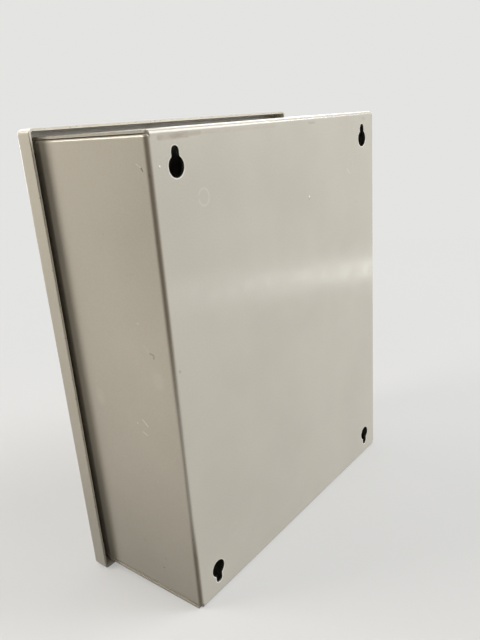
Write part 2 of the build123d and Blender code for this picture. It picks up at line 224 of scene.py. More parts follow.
# %% [markdown]
# ## The lamps
# In the photograph each wall is lit at a slant from its own side, while the bend between them, which
# faces the camera, stays dark. So the lamps stand far round to both sides. Each was rendered alone and
# the powers were solved for the photograph's brightness over the walls; some were then changed.
# The low strip makes the pale band across the back, and the lamps near the side wall its strong falloff
# and the paler part beside its rear bend. The nearest one stands well to the front, so that the door's
# flange throws its long soft shadow on the wall.
# The last two lamps are for the left side and the door, which the photograph hides.

# %% Lamps
WARM = (1.0, 0.93, 0.84)
CLEAR = (1.0, 1.0, 1.0)
LAMPS = {                # place, point aimed at, width and height, power, colour, turn in its own plane
    "back_high": ((-1.5, 1.5, 1.1), (0.0, 0.0, 0.0), (1.6, 1.6), 62.0, CLEAR, 0),
    "back_top": ((-0.4, 1.5, 1.9), (0.0, 0.0, 0.0), (1.4, 1.0), 20.0, CLEAR, 0),
    "back_strip": ((-0.403, 0.282, -0.088), (0.02, 0.0, 0.046), (0.36, 0.025), 0.075, CLEAR, 6),
    "side_near": ((0.43, -0.42, 0.46), (0.127, -0.05, 0.07), (0.3, 0.3), 3.3, WARM, 0),
    "side_rear": ((0.55, 0.10, 0.45), (0.127, -0.05, 0.05), (0.3, 0.3), 0.65, WARM, 0),
    "side_low": ((0.20, -0.03, -0.015), (0.127, -0.03, -0.015), (0.05, 0.16), 0.018, WARM, 0),
    "front_right": ((0.25, -1.0, 0.45), (0.0, -0.1, 0.0), (0.8, 0.8), 0.6, CLEAR, 0),
    "camera_side": ((0.9, 0.75, 0.5), (0.0, 0.0, 0.0), (0.8, 0.8), 0.5, CLEAR, 0),
    "left_far": ((-0.9, -0.5, 0.5), (0.0, 0.0, 0.0), (0.8, 0.8), 3.2, CLEAR, 0),
    "door_front": ((-0.1, -1.2, 0.4), (0.0, -0.1, 0.0), (0.9, 0.9), 6.0, CLEAR, 0),
}


def softbox(name, place, aim, size, power, colour, turn):
    """A soft rectangular lamp that looks at a point and that the camera can't see."""
    lamp = bpy.data.lights.new(name, "AREA")
    lamp.shape = "RECTANGLE"
    lamp.size, lamp.size_y = size
    lamp.energy = power
    lamp.color = colour
    box = bpy.data.objects.new(name, lamp)
    bpy.context.scene.collection.objects.link(box)
    box.location = Vector(place)
    box.rotation_euler = (Vector(aim) - Vector(place)).to_track_quat("-Z", "Y").to_euler()
    box.rotation_euler.rotate_axis("Z", math.radians(turn))
    box.visible_camera = False


for name, sizes in LAMPS.items():
    softbox(name, *sizes)
print(len(LAMPS), "lamps,", round(sum(sizes[3] for sizes in LAMPS.values()), 1), "watts")

# %% [markdown]
# ## A material's first and last nodes
# Each finish starts from the surface's own place in metres and ends in the same three nodes: a bump
# that turns heights into slopes, the shader and the output. Blender can also give a place as a share of
# each piece's box, but then a grain or a scratch would be finer on a small piece than on a large one.

# %% First and last nodes


def start_material(name):
    """An empty material, its tree, and the surface's own place in metres."""
    material = bpy.data.materials.new(name)
    material.use_nodes = True
    tree = material.node_tree
    tree.nodes.clear()
    return material, tree, add(tree, "ShaderNodeTexCoord").outputs["Object"]


def finish(tree, colour, rough, height, **constants):
    """The last three nodes of a material: bump, shader and output."""
    bump = add(tree, "ShaderNodeBump", {"Height": height, "Distance": 1.0, "Strength": 1.0})
    sizes = {"Base Color": colour, "Roughness": rough, "Normal": bump.outputs[0]}
    shader = add(tree, "ShaderNodeBsdfPrincipled", {**sizes, **constants})
    add(tree, "ShaderNodeOutputMaterial", {"Surface": shader.outputs[0]})


def finish_nodes(material, *names):
    """Gives the named CAD nodes this material."""
    for name in names:
        slots = frame["nodes"][name].data.materials
        slots.clear()
        slots.append(material)
    print(material.name, "on", ", ".join(names))


print("materials read places in metres, and", MM, "is a millimetre")

# %% [markdown]
# ## Masks
# Wear and dirt aren't spread evenly: paint rubs off where a piece is touched, on its edges, and dirt
# stays where a cloth doesn't reach. A mask is a number from 0 to 1 over the surface that says where.
# It could be painted on by hand, but that needs an unwrapped surface and is lost when the shape changes.
# All masks here are worked out from the surface's own place, so they stay on it as the door turns.

# %% Masks
NOISE_RANGE = (0.3, 0.7)    # the noise used here seldom leaves it
PATCH_LEVEL, PATCH_DROP, PATCH_SOFTNESS = 0.62, 0.24, 0.08


def stroke(tree, place, start, end, width):
    """1 along the line between two points in millimetres, 0 beyond half its width."""
    first, line = Vector(start) * MM, (Vector(end) - Vector(start)) * MM
    offset = vector(tree, "SUBTRACT", place, first)
    if line.length:
        share = calc(tree, "DIVIDE", vector(tree, "DOT_PRODUCT", offset, line), line.length_squared)
        share = add(tree, "ShaderNodeClamp", {0: share}).outputs[0]
        nearest = add(tree, "ShaderNodeVectorMath", {0: line, "Scale": share}, operation="SCALE").outputs[0]
        offset = vector(tree, "SUBTRACT", offset, nearest)
    return span(tree, vector(tree, "LENGTH", offset), 0.1 * width * MM, 0.5 * width * MM, 1.0, 0.0)


def strongest(tree, place, marks):
    """Several strokes as one mask. Each is (start, end, width in millimetres, strength)."""
    total = 0.0
    for start, end, width, strength in marks:
        mask = calc(tree, "MULTIPLY", stroke(tree, place, start, end, width), strength)
        total = calc(tree, "MAXIMUM", total, mask)
    return total


def box_edges(tree, place, low, high, reach):
    """1 on the edges of a box between two corners, 0 beyond reach from them."""
    near = []
    for axis, value in enumerate(add(tree, "ShaderNodeSeparateXYZ", {0: place}).outputs):
        middle, half = (low[axis] + high[axis]) / 2, (high[axis] - low[axis]) / 2
        away = calc(tree, "SUBTRACT", half, calc(tree, "ABSOLUTE", calc(tree, "SUBTRACT", value, middle)))
        near.append(span(tree, away, 0.0, reach, 1.0, 0.0))
    pairs = [calc(tree, "MULTIPLY", near[a], near[b]) for a, b in ((0, 1), (1, 2), (2, 0))]
    return calc(tree, "MAXIMUM", calc(tree, "MAXIMUM", pairs[0], pairs[1]), pairs[2])


def unsteady(tree, place, reach, scale):
    """The place moved about by up to reach, so that a mask drawn at it gets a ragged outline."""
    sizes = {"Vector": place, "Scale": scale, "Detail": 2.0}
    push = add(tree, "ShaderNodeTexNoise", sizes).outputs["Color"]
    push = vector(tree, "SUBTRACT", push, (0.5, 0.5, 0.5))
    push = add(tree, "ShaderNodeVectorMath", {0: push, "Scale": 2 * reach}, operation="SCALE").outputs[0]
    return vector(tree, "ADD", place, push)


def patches(tree, place, scale, share):
    """Patches of noise: hardly any where share is 0, over most of the surface where it is 1."""
    level = PATCH_LEVEL - PATCH_DROP * share
    return span(tree, noise(tree, place, scale, 4.0, 0.6), level, level + PATCH_SOFTNESS)


# %% [markdown]
# ## Grey enamel
# The sheet is sprayed with light grey enamel, semi-gloss, with the faint orange peel of sprayed paint.
# Its colour drifts a little, fine dust sits in it, and the sheet under it isn't quite flat, which shows
# only in the reflections. Peel and waves are heights, so they are bumps in real metres.
# On top come three masks: light marks where it was scraped, dark marks and dirt. The bends are rubbed
# a little darker and glossier by hands. A picture of paint could be wrapped round the box instead, but
# its grain would repeat, and it would show a seam at each fold.

# %% Enamel
ENAMEL = seen(193, 188, 175)
SCRAPED = seen(232, 228, 216)
DARK_MARK = seen(70, 62, 52)
DIRT = seen(138, 122, 100)
RUBBED = seen(168, 160, 144)
EDGE_WEAR_REACH = 1.6 * MM
DRIFT, SPECKLE = (0.97, 1.03), (0.98, 1.02)
GLOSSIEST, DULLEST = 0.15, 0.23
PEEL_WAVES, PEEL_HEIGHT = 420.0, 0.006 * MM
SHEET_WAVES, SHEET_WAVE_HEIGHT = 9.0, 0.3 * MM
NIB_HEIGHT, CHIP_DEPTH = 0.25 * MM, 0.05 * MM


def enamel(name, node, light=(), dark=(), dirt=(), raised=(), chips=0.12, extra=None, paint=ENAMEL):
    """Sprayed enamel for one node, worn on the edges of its box, with the marks that are named."""
    material, tree, place = start_material(name)
    rough_place = unsteady(tree, place, 0.5 * MM, 900.0)
    low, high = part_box(node)
    tone = span(tree, noise(tree, place, 14.0, 3.0), *NOISE_RANGE, *DRIFT)
    speckle = span(tree, noise(tree, place, 900.0), *NOISE_RANGE, *SPECKLE)
    tone = calc(tree, "MULTIPLY", tone, speckle)
    colour = lay(tree, 1.0, paint, tone, "MULTIPLY")
    dust = patches(tree, place, 1500.0, 0.0)
    colour = lay(tree, calc(tree, "MULTIPLY", dust, 0.15), colour, DARK_MARK)
    edge = box_edges(tree, rough_place, low, high, EDGE_WEAR_REACH)
    worn = calc(tree, "MULTIPLY", edge, patches(tree, place, 240.0, 0.9))
    colour = lay(tree, calc(tree, "MULTIPLY", worn, 0.35), colour, RUBBED)
    chipped = calc(tree, "MULTIPLY", edge, patches(tree, place, 420.0, chips))
    colour = lay(tree, chipped, colour, DARK_MARK)
    smeared = calc(tree, "MULTIPLY", strongest(tree, rough_place, dirt),
                   span(tree, noise(tree, place, 110.0), 0.35, 0.6, 0.45, 1.0))
    colour = lay(tree, smeared, colour, DIRT)
    scraped = strongest(tree, rough_place, light)
    colour = lay(tree, scraped, colour, SCRAPED)
    marked = strongest(tree, rough_place, dark)
    colour = lay(tree, marked, colour, DARK_MARK)
    rough = span(tree, noise(tree, place, 60.0, 4.0), *NOISE_RANGE, GLOSSIEST, DULLEST)
    rough = calc(tree, "MULTIPLY_ADD", worn, -0.03, calc(tree, "MULTIPLY_ADD", smeared, 0.15, rough))
    height = calc(tree, "MULTIPLY", noise(tree, place, PEEL_WAVES), PEEL_HEIGHT)
    height = calc(tree, "MULTIPLY_ADD", noise(tree, place, SHEET_WAVES, 1.0), SHEET_WAVE_HEIGHT, height)
    height = calc(tree, "MULTIPLY_ADD", strongest(tree, place, raised), NIB_HEIGHT, height)
    height = calc(tree, "MULTIPLY_ADD", chipped, -CHIP_DEPTH, height)
    if extra:
        colour, height = extra(tree, place, colour, height)
    finish(tree, colour, rough, height)
    return material


# %% [markdown]
# ## The body's own marks
# These are the scrapes, nibs and dirt that the photograph shows on the back and on the right side. A
# picture laid over the walls could carry them, but it blurs close up. So each is a short stroke, with
# its start, its end and its width in millimetres on the box, and its strength.
# A dirty streak runs under the top bend of the back. Where a stud is welded on inside, heat and the
# squeeze of the welding leave a faint ring on the outside. A brown band, partly a stain and partly
# painted shade, runs down the bend beside the right side. A raised line with a painted highlight runs
# round each keyhole, with painted shade down in its cut, and painted shadow lies on the walls under the
# door's flange and fades out beside it.

# %% Marks on the body
SIDE_X = 127


def on_back(*marks):
    """Marks on the back, whose start and end are given as x and z."""
    return [((x, 0, z), (end_x, 0, end_z), *rest) for (x, z), (end_x, end_z), *rest in marks]


def on_side(*marks):
    """Marks on the right side, whose start and end are given as y and z."""
    return [((SIDE_X, y, z), (SIDE_X, end_y, end_z), *rest) for (y, z), (end_y, end_z), *rest in marks]


BACK_LIGHT = on_back(
    ((-25.6, 97.7), (-25.6, 97.7), 2.4, 1.0),
    ((119.6, 133.4), (119.6, 133.4), 1.6, 0.7),
    ((-86.5, 107.5), (-82.0, 111.5), 1.6, 0.3),
)
BACK_DARK = on_back(
    ((-95.2, 84.2), (-95.2, 84.2), 2.0, 0.15),
    ((121.9, 18.2), (121.9, 18.2), 3.0, 0.25),
    ((-25.6, 96.4), (-25.6, 96.4), 1.4, 0.35),
)
BACK_DIRT = on_back(
    ((118.0, 148.0), (96.0, 148.4), 4.8, 0.55),
    ((110.0, 148.2), (86.0, 148.6), 3.6, 0.35),
    ((90.0, 148.5), (40.0, 148.2), 3.0, 0.12),
    ((40.0, 148.2), (13.0, 148.0), 2.4, 0.1),
    ((-28.0, 148.0), (-36.0, 148.0), 2.4, 0.4),
    ((-108.0, 148.0), (-112.0, 147.0), 3.6, 0.3),
)
SIDE_LIGHT = on_side(
    ((-9.6, 135.7), (-8.6, 135.0), 1.3, 0.4),
    ((-7.4, 134.6), (-6.9, 134.1), 1.2, 0.5),
    ((-4.6, 133.2), (-4.2, 132.6), 1.0, 0.3),
    ((-25.2, 45.6), (-25.2, 45.6), 2.0, 0.6),
    ((-38.0, -22.9), (-38.0, -22.9), 1.8, 0.7),
    ((-32.6, -19.4), (-28.7, -22.8), 1.3, 0.8),
    ((-33.7, -28.1), (-30.3, -29.7), 1.2, 0.7),
    ((-13.9, 10.5), (-13.9, 12.5), 14.0, 0.12),
    ((-71.5, -14.1), (-71.5, -10.1), 12.0, 0.12),
    ((-29.5, -149.0), (-29.5, -149.0), 1.8, 0.6),
    ((-22.4, 32.1), (-18.5, 27.9), 2.6, 0.12),
)
SIDE_DARK = on_side(
    ((-6.3, 133.5), (-5.2, 132.1), 1.3, 0.65),
    ((-18.2, 27.9), (-15.2, 27.3), 1.5, 0.4),
    ((-15.2, 27.3), (-15.3, 25.2), 1.5, 0.4),
    ((-31.8, -132.2), (-31.8, -132.2), 1.8, 0.5),
    ((-48.8, -115.8), (-47.6, -116.4), 1.4, 0.2),
    ((-29.5, -123.1), (-28.9, -123.9), 1.4, 0.2),
)
NIBS = on_back(
    ((-25.6, 97.7), (-25.6, 97.7), 2.6, 1.0),
    ((119.6, 133.4), (119.6, 133.4), 1.8, 0.7),
)
print(len(BACK_LIGHT + BACK_DARK + BACK_DIRT), "marks on the back")
print(len(SIDE_LIGHT + SIDE_DARK), "marks on the right side")

# %% Rings where the studs are welded
RING_X, RING_Z = 87.3, 113.5
RING_SEEN, RING_GUESSED = 1.0, 0.35
WELD_RINGS = {(x, z): RING_GUESSED for x in (-RING_X, RING_X) for z in (-RING_Z, RING_Z)}
WELD_RINGS[RING_X, RING_Z] = RING_SEEN
RING_HALF_HEIGHT, RING_HALF_WIDTH, RING_LINE = 4.9, 4.5, 1.0
RING_STRENGTH, RING_RISE = 0.2, 0.02 * MM


def weld_rings(tree, place, colour, height):
    """A faint raised oval line on the back for each stud that is welded on inside."""
    stretch = RING_HALF_HEIGHT / RING_HALF_WIDTH
    stretched = vector(tree, "MULTIPLY", place, (stretch, 1.0, 1.0))
    for (x, z), strength in WELD_RINGS.items():
        centre = Vector((x * stretch, 0, z)) * MM
        away = calc(tree, "SUBTRACT", vector(tree, "DISTANCE", stretched, centre), RING_HALF_HEIGHT * MM)
        line = span(tree, calc(tree, "ABSOLUTE", away), 0.0, RING_LINE * MM, strength, 0.0)
        line = calc(tree, "MULTIPLY", line, patches(tree, place, 260.0, 1.0))
        colour = lay(tree, calc(tree, "MULTIPLY", line, RING_STRENGTH), colour, SCRAPED)
        height = calc(tree, "MULTIPLY_ADD", line, RING_RISE, height)
    return colour, height


print(len(WELD_RINGS), "weld rings")

# %% Rims of the keyholes
KEYHOLE_X, KEYHOLE_Z, SLOT_REACH = 107 * MM, 132.4 * MM, 8 * MM
LOBE_RADIUS, SLOT_RADIUS = 6.1 * MM, 3.1 * MM
# The rims' light colour is a painted highlight, and the darkening in the cut is painted shade.
RIM_PAINTED_HIGHLIGHT = seen(240, 237, 228)
RIM_CORE, RIM_REACH, RIM_RISE = 0.25 * MM, 0.9 * MM, 0.03 * MM
RIM_FULL_BELOW, RIM_FAINT_ABOVE, RIM_FAINTEST = 6 * MM, 5 * MM, 0.4
FACE_SKIN = (0.25 * MM, 0.45 * MM)
CUT_FROM, CUT_REACH, CUT_SHADE = 0.02 * MM, 0.15 * MM, 0.12


def from_keyhole(tree, across, up):
    """The distance to the keyhole's outline, a lobe with a slot that leads away from the middle."""
    sideways = calc(tree, "SUBTRACT", across, KEYHOLE_X)
    from_lobe = calc(tree, "SUBTRACT", up, KEYHOLE_Z)
    along_slot = calc(tree, "MINIMUM", calc(tree, "MAXIMUM", from_lobe, 0.0), SLOT_REACH)
    past_slot = calc(tree, "SUBTRACT", from_lobe, along_slot)
    to_lobe = add(tree, "ShaderNodeCombineXYZ", {0: sideways, 1: from_lobe}).outputs[0]
    to_slot = add(tree, "ShaderNodeCombineXYZ", {0: sideways, 1: past_slot}).outputs[0]
    return calc(tree, "MINIMUM", calc(tree, "SUBTRACT", vector(tree, "LENGTH", to_lobe), LOBE_RADIUS),
                calc(tree, "SUBTRACT", vector(tree, "LENGTH", to_slot), SLOT_RADIUS))


def keyhole_rims(tree, place, colour, height):
    """A painted highlight on a raised line round each keyhole, strongest below it, and painted shade in the
    cut.
    """
    level = add(tree, "ShaderNodeSeparateXYZ", {0: place}).outputs[2]
    across, depth, up = add(tree, "ShaderNodeSeparateXYZ", {0: vector(tree, "ABSOLUTE", place)}).outputs
    over = calc(tree, "SUBTRACT", level, calc(tree, "MULTIPLY", calc(tree, "SIGN", level), KEYHOLE_Z))
    away = from_keyhole(tree, across, up)
    on_face = span(tree, depth, *FACE_SKIN, 1.0, 0.0)
    rim = calc(tree, "MULTIPLY", span(tree, away, RIM_CORE, RIM_REACH, 1.0, 0.0), on_face)
    rim = calc(tree, "MULTIPLY", rim, span(tree, over, -RIM_FULL_BELOW, RIM_FAINT_ABOVE, 1.0, RIM_FAINTEST))
    colour = lay(tree, rim, colour, RIM_PAINTED_HIGHLIGHT)
    in_cut = calc(tree, "MULTIPLY", span(tree, away, CUT_FROM, CUT_REACH, 1.0, 0.0),
                  calc(tree, "SUBTRACT", 1.0, on_face))
    colour = lay(tree, in_cut, colour, grey(CUT_SHADE), "MULTIPLY")
    return colour, calc(tree, "MULTIPLY_ADD", rim, RIM_RISE, height)


print("keyholes", round(2 * LOBE_RADIUS / MM, 1), "mm wide")

# %% The bend's band of stain and painted shade, and the painted shadow under the flange
# The band's tint is partly a brown stain and partly painted shade.
BAND_STAIN_AND_SHADE = (0.46, 0.41, 0.35, 1.0)
BAND_CORE, BAND_REACH, BAND_FAINTEST = 0.9 * MM, 3.4 * MM, 0.15
BAND_UPPER = (-45 * MM, 60 * MM)
BAND_LOWER = (-80 * MM, -115 * MM)
# The colour and reach of the painted shadow under and beside the door's flange.
GAP_PAINTED_SHADOW = (0.25, 0.22, 0.19, 1.0)
SHADOW_BESIDE, SHADOW_REACH = 0.2, 12 * MM
SHADOW_BENEATH, SHADOW_FADE = 0.55, 2 * MM
WALL_SKIN = (0.5 * MM, 0.2 * MM)


def bend_stain_and_shade(tree, place, colour):
    """Brown stain and painted shade down the right rear bend, strong at top and foot, faint between."""
    up = add(tree, "ShaderNodeSeparateXYZ", {0: place}).outputs[2]
    flat = vector(tree, "MULTIPLY", place, (1.0, 1.0, 0.0))
    away = vector(tree, "DISTANCE", flat, Vector((SIDE_X, 0, 0)) * MM)
    band = span(tree, away, BAND_CORE, BAND_REACH, 1.0, 0.0)
    upper = span(tree, up, *BAND_UPPER, BAND_FAINTEST, 1.0)
    lower = span(tree, up, *BAND_LOWER, BAND_FAINTEST, 1.0)
    band = calc(tree, "MULTIPLY", band, calc(tree, "MAXIMUM", upper, lower))
    return lay(tree, band, colour, BAND_STAIN_AND_SHADE, "MULTIPLY")


def flange_painted_shadow(tree, place, colour):
    """Painted shadow on the outside of the walls, under the door's flange and fading out beside it."""
    depth = add(tree, "ShaderNodeSeparateXYZ", {0: place}).outputs[1]
    across, _, up = add(tree, "ShaderNodeSeparateXYZ", {0: vector(tree, "ABSOLUTE", place)}).outputs
    side_wall = span(tree, across, *(shell_high.x - skin for skin in WALL_SKIN))
    end_wall = span(tree, up, *(shell_high.z - skin for skin in WALL_SKIN))
    outside = calc(tree, "MAXIMUM", side_wall, end_wall)
    beside = span(tree, depth, door_high.y + SHADOW_REACH, door_high.y, 0.0, SHADOW_BESIDE)
    beneath = span(tree, depth, door_high.y, door_high.y - SHADOW_FADE, 0.0, SHADOW_BENEATH)
    dust_and_painted_shadow = calc(tree, "MULTIPLY", outside, calc(tree, "ADD", beside, beneath))
    return lay(tree, dust_and_painted_shadow, colour, GAP_PAINTED_SHADOW, "MULTIPLY")


# Where the painted shadow beside the door's flange begins.
print("dust from", round((door_high.y + SHADOW_REACH) / MM, 1), "mm to the front")

# %% Body enamel


def body_marks(tree, place, colour, height):
    """All of the body's own marks and its painted highlight, shade and shadow, one over another."""
    colour, height = weld_rings(tree, place, colour, height)
    colour, height = keyhole_rims(tree, place, colour, height)
    return flange_painted_shadow(tree, place, bend_stain_and_shade(tree, place, colour)), height


body_enamel = enamel("grey_enamel_body", "body_shell", BACK_LIGHT + SIDE_LIGHT, BACK_DARK + SIDE_DARK,
                     BACK_DIRT, NIBS, chips=0.0, extra=body_marks)
finish_nodes(body_enamel, "body_shell")

# %% [markdown]
# ## The door and the hinge
# The door has the same enamel, which the photograph shows a shade lighter than the body's; the door's
# colour is set that shade lighter, as painted light. A dark line is laid along the outer corner of its
# cut rear edge, strongest near the top. The hinge was painted with the box, so where its knuckles rub on
# one another the paint is gone and the steel shows.
# Each could be a material of its own, built from nothing. The one function above, with its extra marks
# handed to it, keeps the paint alike on all of them.

# %% Door and hinge enamel
KNUCKLES = 9
# The body's enamel set a shade lighter, as painted light.
DOOR_ENAMEL_PAINTED_LIGHTER = seen(200, 195, 181)
STEEL = seen(150, 148, 144)
FLANGE_LINE = (0.02 * MM, 0.5 * MM)
CORNER_LINE = (0.1 * MM, 0.7 * MM)
LINE_STARTS, LINE_FULL, LINE_STRENGTH = 95 * MM, 150 * MM, 0.8
RUB_CORE, RUB_REACH, RUB_DEPTH = 0.3 * MM, 1.4 * MM, 0.04 * MM
KNUCKLE_SKIN = (2.3 * MM, 2.6 * MM)
door_swing, latch_turn = frame["joints"]
hinge_place = Vector(door_swing["pos_m"])
pin_low, pin_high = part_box("hinge_pin")
knuckle_pitch = (pin_high.z - pin_low.z) / KNUCKLES


def dark_corner_line(tree, place, colour, height):
    """A dark line along the outer corner of the flange's cut edge, strongest at the top."""
    x, y, z = add(tree, "ShaderNodeSeparateXYZ", {0: place}).outputs
    rim = span(tree, calc(tree, "SUBTRACT", door_high.y, y), *FLANGE_LINE, 1.0, 0.0)
    outer = span(tree, calc(tree, "SUBTRACT", door_high.x, x), *CORNER_LINE, 1.0, 0.0)
    upper = span(tree, z, LINE_STARTS, LINE_FULL, 0.0, LINE_STRENGTH)
    line = calc(tree, "MULTIPLY", calc(tree, "MULTIPLY", rim, outer), upper)
    return lay(tree, line, colour, DARK_MARK), height


def rubbed_knuckles(tree, place, colour, height):
    """Bare steel beside the gaps between the knuckles, in uneven patches."""
    z = add(tree, "ShaderNodeSeparateXYZ", {0: place}).outputs[2]
    count = calc(tree, "DIVIDE", calc(tree, "SUBTRACT", z, pin_low.z), knuckle_pitch)
    away = calc(tree, "MULTIPLY", calc(tree, "PINGPONG", count, 0.5), knuckle_pitch)
    flat = vector(tree, "MULTIPLY", place, (1.0, 1.0, 0.0))
    near_pin = vector(tree, "DISTANCE", flat, Vector((hinge_place.x, hinge_place.y, 0)))
    mask = calc(tree, "MULTIPLY", span(tree, away, RUB_CORE, RUB_REACH, 1.0, 0.0),
                span(tree, near_pin, *KNUCKLE_SKIN, 1.0, 0.0))
    mask = calc(tree, "MULTIPLY", mask, patches(tree, place, 500.0, 0.7))
    return lay(tree, mask, colour, STEEL), calc(tree, "MULTIPLY_ADD", mask, -RUB_DEPTH, height)


finish_nodes(enamel("grey_enamel_door", "door_panel", extra=dark_corner_line, paint=DOOR_ENAMEL_PAINTED_LIGHTER), "door_panel")
hinge_enamel = enamel("grey_enamel_hinge", "hinge_body_leaf", extra=rubbed_knuckles)
finish_nodes(hinge_enamel, "hinge_body_leaf", "hinge_door_leaf")
rivet_enamel = enamel("grey_enamel_rivets", "hinge_body_rivets")

# %% [markdown]
# ## White panel, black seal
# The mounting panel is a flat plate in white satin paint. Devices are screwed to it, and it gets fine
# scuffs from them, more of them along its edges. The seal is closed-cell foam: matt, nearly black,
# with small cells that show as pits, darkened by painted shade, and with grey dust pressed into it. The
# photograph hides the panel, so noise stretched along the plate stands for its scuffs.

# %% Panel and seal
WHITE = seen(226, 226, 220)
SCUFF = seen(150, 148, 140)
FOAM = seen(34, 34, 35)
FOAM_DUST = seen(84, 82, 78)
# Painted shade in the foam's pits.
PIT_SHADE = grey(0.004)
EDGE_REACH = 2.0 * MM
SATIN = (0.40, 0.50)
SCUFF_STRETCH, SCUFF_STRENGTH, SCUFF_DEPTH = 0.06, 0.2, 0.02 * MM
GRAIN, GRAIN_HEIGHT = 450.0, 0.008 * MM
FOAM_CELLS, PIT_DEPTH = 1800.0, 0.15 * MM
MATT = (0.82, 0.95)


def white_panel():
    """White satin paint with scuffs that run upwards, more of them along the edges."""
    material, tree, place = start_material("white_panel_paint")
    low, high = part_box("mounting_panel")
    tone = span(tree, noise(tree, place, 20.0, 3.0), *NOISE_RANGE, *DRIFT)
    colour = lay(tree, 1.0, WHITE, tone, "MULTIPLY")
    edge = box_edges(tree, unsteady(tree, place, 0.6 * MM, 700.0), low, high, EDGE_REACH)
    worn = calc(tree, "MULTIPLY", calc(tree, "MULTIPLY", edge, 0.5), patches(tree, place, 260.0, 0.9))
    long_place = vector(tree, "MULTIPLY", place, (1.0, 1.0, SCUFF_STRETCH))
    scuffs = calc(tree, "MULTIPLY", patches(tree, long_place, 900.0, 0.0), patches(tree, place, 30.0, 0.8))
    mask = calc(tree, "MAXIMUM", worn, calc(tree, "MULTIPLY", scuffs, SCUFF_STRENGTH))
    colour = lay(tree, mask, colour, SCUFF)
    rough = span(tree, noise(tree, place, 70.0), *NOISE_RANGE, *SATIN)
    rough = calc(tree, "MULTIPLY_ADD", mask, 0.15, rough)
    height = calc(tree, "MULTIPLY", noise(tree, place, GRAIN), GRAIN_HEIGHT)
    finish(tree, colour, rough, calc(tree, "MULTIPLY_ADD", mask, -SCUFF_DEPTH, height))
    return material


def black_foam():
    """Matt black foam whose cut cells' pits hold painted shade, dusty in patches and along its edges."""
    material, tree, place = start_material("black_foam")
    cells = add(tree, "ShaderNodeTexVoronoi", {"Vector": place, "Scale": FOAM_CELLS}).outputs["Distance"]
    pits = span(tree, cells, 0.15, 0.55, 1.0, 0.0)
    dust_and_painted_shadow = patches(tree, place, 90.0, 0.8)
    low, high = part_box("door_seal")
    edge = box_edges(tree, unsteady(tree, place, 0.8 * MM, 500.0), low, high, EDGE_REACH)
    dust_and_painted_shadow = calc(tree, "MAXIMUM", calc(tree, "MULTIPLY", dust_and_painted_shadow, 0.35), calc(tree, "MULTIPLY", edge, 0.6))
    colour = lay(tree, calc(tree, "MULTIPLY", pits, 0.5), FOAM, PIT_SHADE)
    colour = lay(tree, dust_and_painted_shadow, colour, FOAM_DUST)
    rough = span(tree, noise(tree, place, 200.0), *NOISE_RANGE, *MATT)
    finish(tree, colour, rough, calc(tree, "MULTIPLY", pits, -PIT_DEPTH))
    return material


finish_nodes(white_panel(), "mounting_panel")
finish_nodes(black_foam(), "door_seal", "latch_bezel_seal")

# %% [markdown]
# ## Plated metal
# The latch is chrome plated and polished by a wheel, which leaves hair-fine rings round its axis, and
# the key's slot is darkened where it sinks into the plug. The studs, nuts and washers have a thin bright
# zinc plating, a little cloudy, with a faint blue and straw tint and dull spots where it oxidises.
# The wheel's rings could be real grooves, but they would need millions of faces. Noise that only reads
# the distance from the axis gives them as bumps.

# %% Chrome and zinc
CHROME = seen(222, 223, 225)
CHROME_GREY = seen(160, 160, 162)
ZINC = seen(186, 190, 196)
STRAW = seen(190, 183, 160)
OXIDE = seen(142, 142, 142)
# The colour that darkens the sunk part of the key's slot.
SLOT_DARK = seen(38, 36, 34)
WORN_TIP = grey(0.75)
WORN_FROM = 0.94         # of the latch's outer radius
KEY_SLOT_HALF, KEY_SLOT_FADE = 5.6 * MM, 0.5 * MM
SLOT_DARK_STARTS, SLOT_DARK_FULL, SLOT_DARK_STRENGTH = 0.2 * MM, 0.9 * MM, 0.85
WHEEL_RINGS, WHEEL_RING_DEPTH = 9000.0, 0.0015 * MM
CLOUDS, CLOUD_HEIGHT = 2500.0, 0.004 * MM
POLISHED, BRIGHT = (0.08, 0.18), (0.26, 0.42)
SHARP_EDGE = (0.52, 0.58)
latch_place = Vector(latch_turn["pos_m"])


def latch_chrome():
    """Polished chrome with the wheel's rings, smudged, worn at its rim, and darkened down in the key's
    slot.
    """
    material, tree, place = start_material("latch_chrome")
    from_axis = vector(tree, "SUBTRACT", place, Vector((latch_place.x, 0, latch_place.z)))
    radius = vector(tree, "LENGTH", vector(tree, "MULTIPLY", from_axis, (1.0, 0.0, 1.0)))
    ring_place = add(tree, "ShaderNodeCombineXYZ", {0: radius}).outputs[0]
    rings = noise(tree, ring_place, WHEEL_RINGS, 2.0, 0.8)
    smudge = patches(tree, place, 70.0, 0.8)
    low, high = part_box("latch_housing")
    outer_radius = (high.x - low.x) / 2
    outside = span(tree, radius, WORN_FROM * outer_radius, outer_radius)
    worn = calc(tree, "MULTIPLY", outside, patches(tree, place, 600.0, 0.6))
    dull = calc(tree, "MAXIMUM", calc(tree, "MULTIPLY", smudge, 0.2), worn)
    colour = lay(tree, dull, CHROME, CHROME_GREY)
    depth = add(tree, "ShaderNodeSeparateXYZ", {0: place}).outputs[1]
    plug_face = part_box("latch_plug")[0].y
    sunk = span(tree, depth, plug_face + SLOT_DARK_STARTS, plug_face + SLOT_DARK_FULL)
    in_slot = span(tree, radius, KEY_SLOT_HALF, KEY_SLOT_HALF + KEY_SLOT_FADE, 1.0, 0.0)
    slot_darkening = calc(tree, "MULTIPLY", sunk, in_slot)
    colour = lay(tree, calc(tree, "MULTIPLY", slot_darkening, SLOT_DARK_STRENGTH), colour, SLOT_DARK)
    rough = calc(tree, "MULTIPLY_ADD", dull, 0.2, span(tree, rings, 0.2, 0.8, *POLISHED))
    rough = calc(tree, "MULTIPLY_ADD", slot_darkening, 0.4, rough)
    height = calc(tree, "MULTIPLY", rings, WHEEL_RING_DEPTH)
    finish(tree, colour, rough, height, Metallic=1.0)
    return material


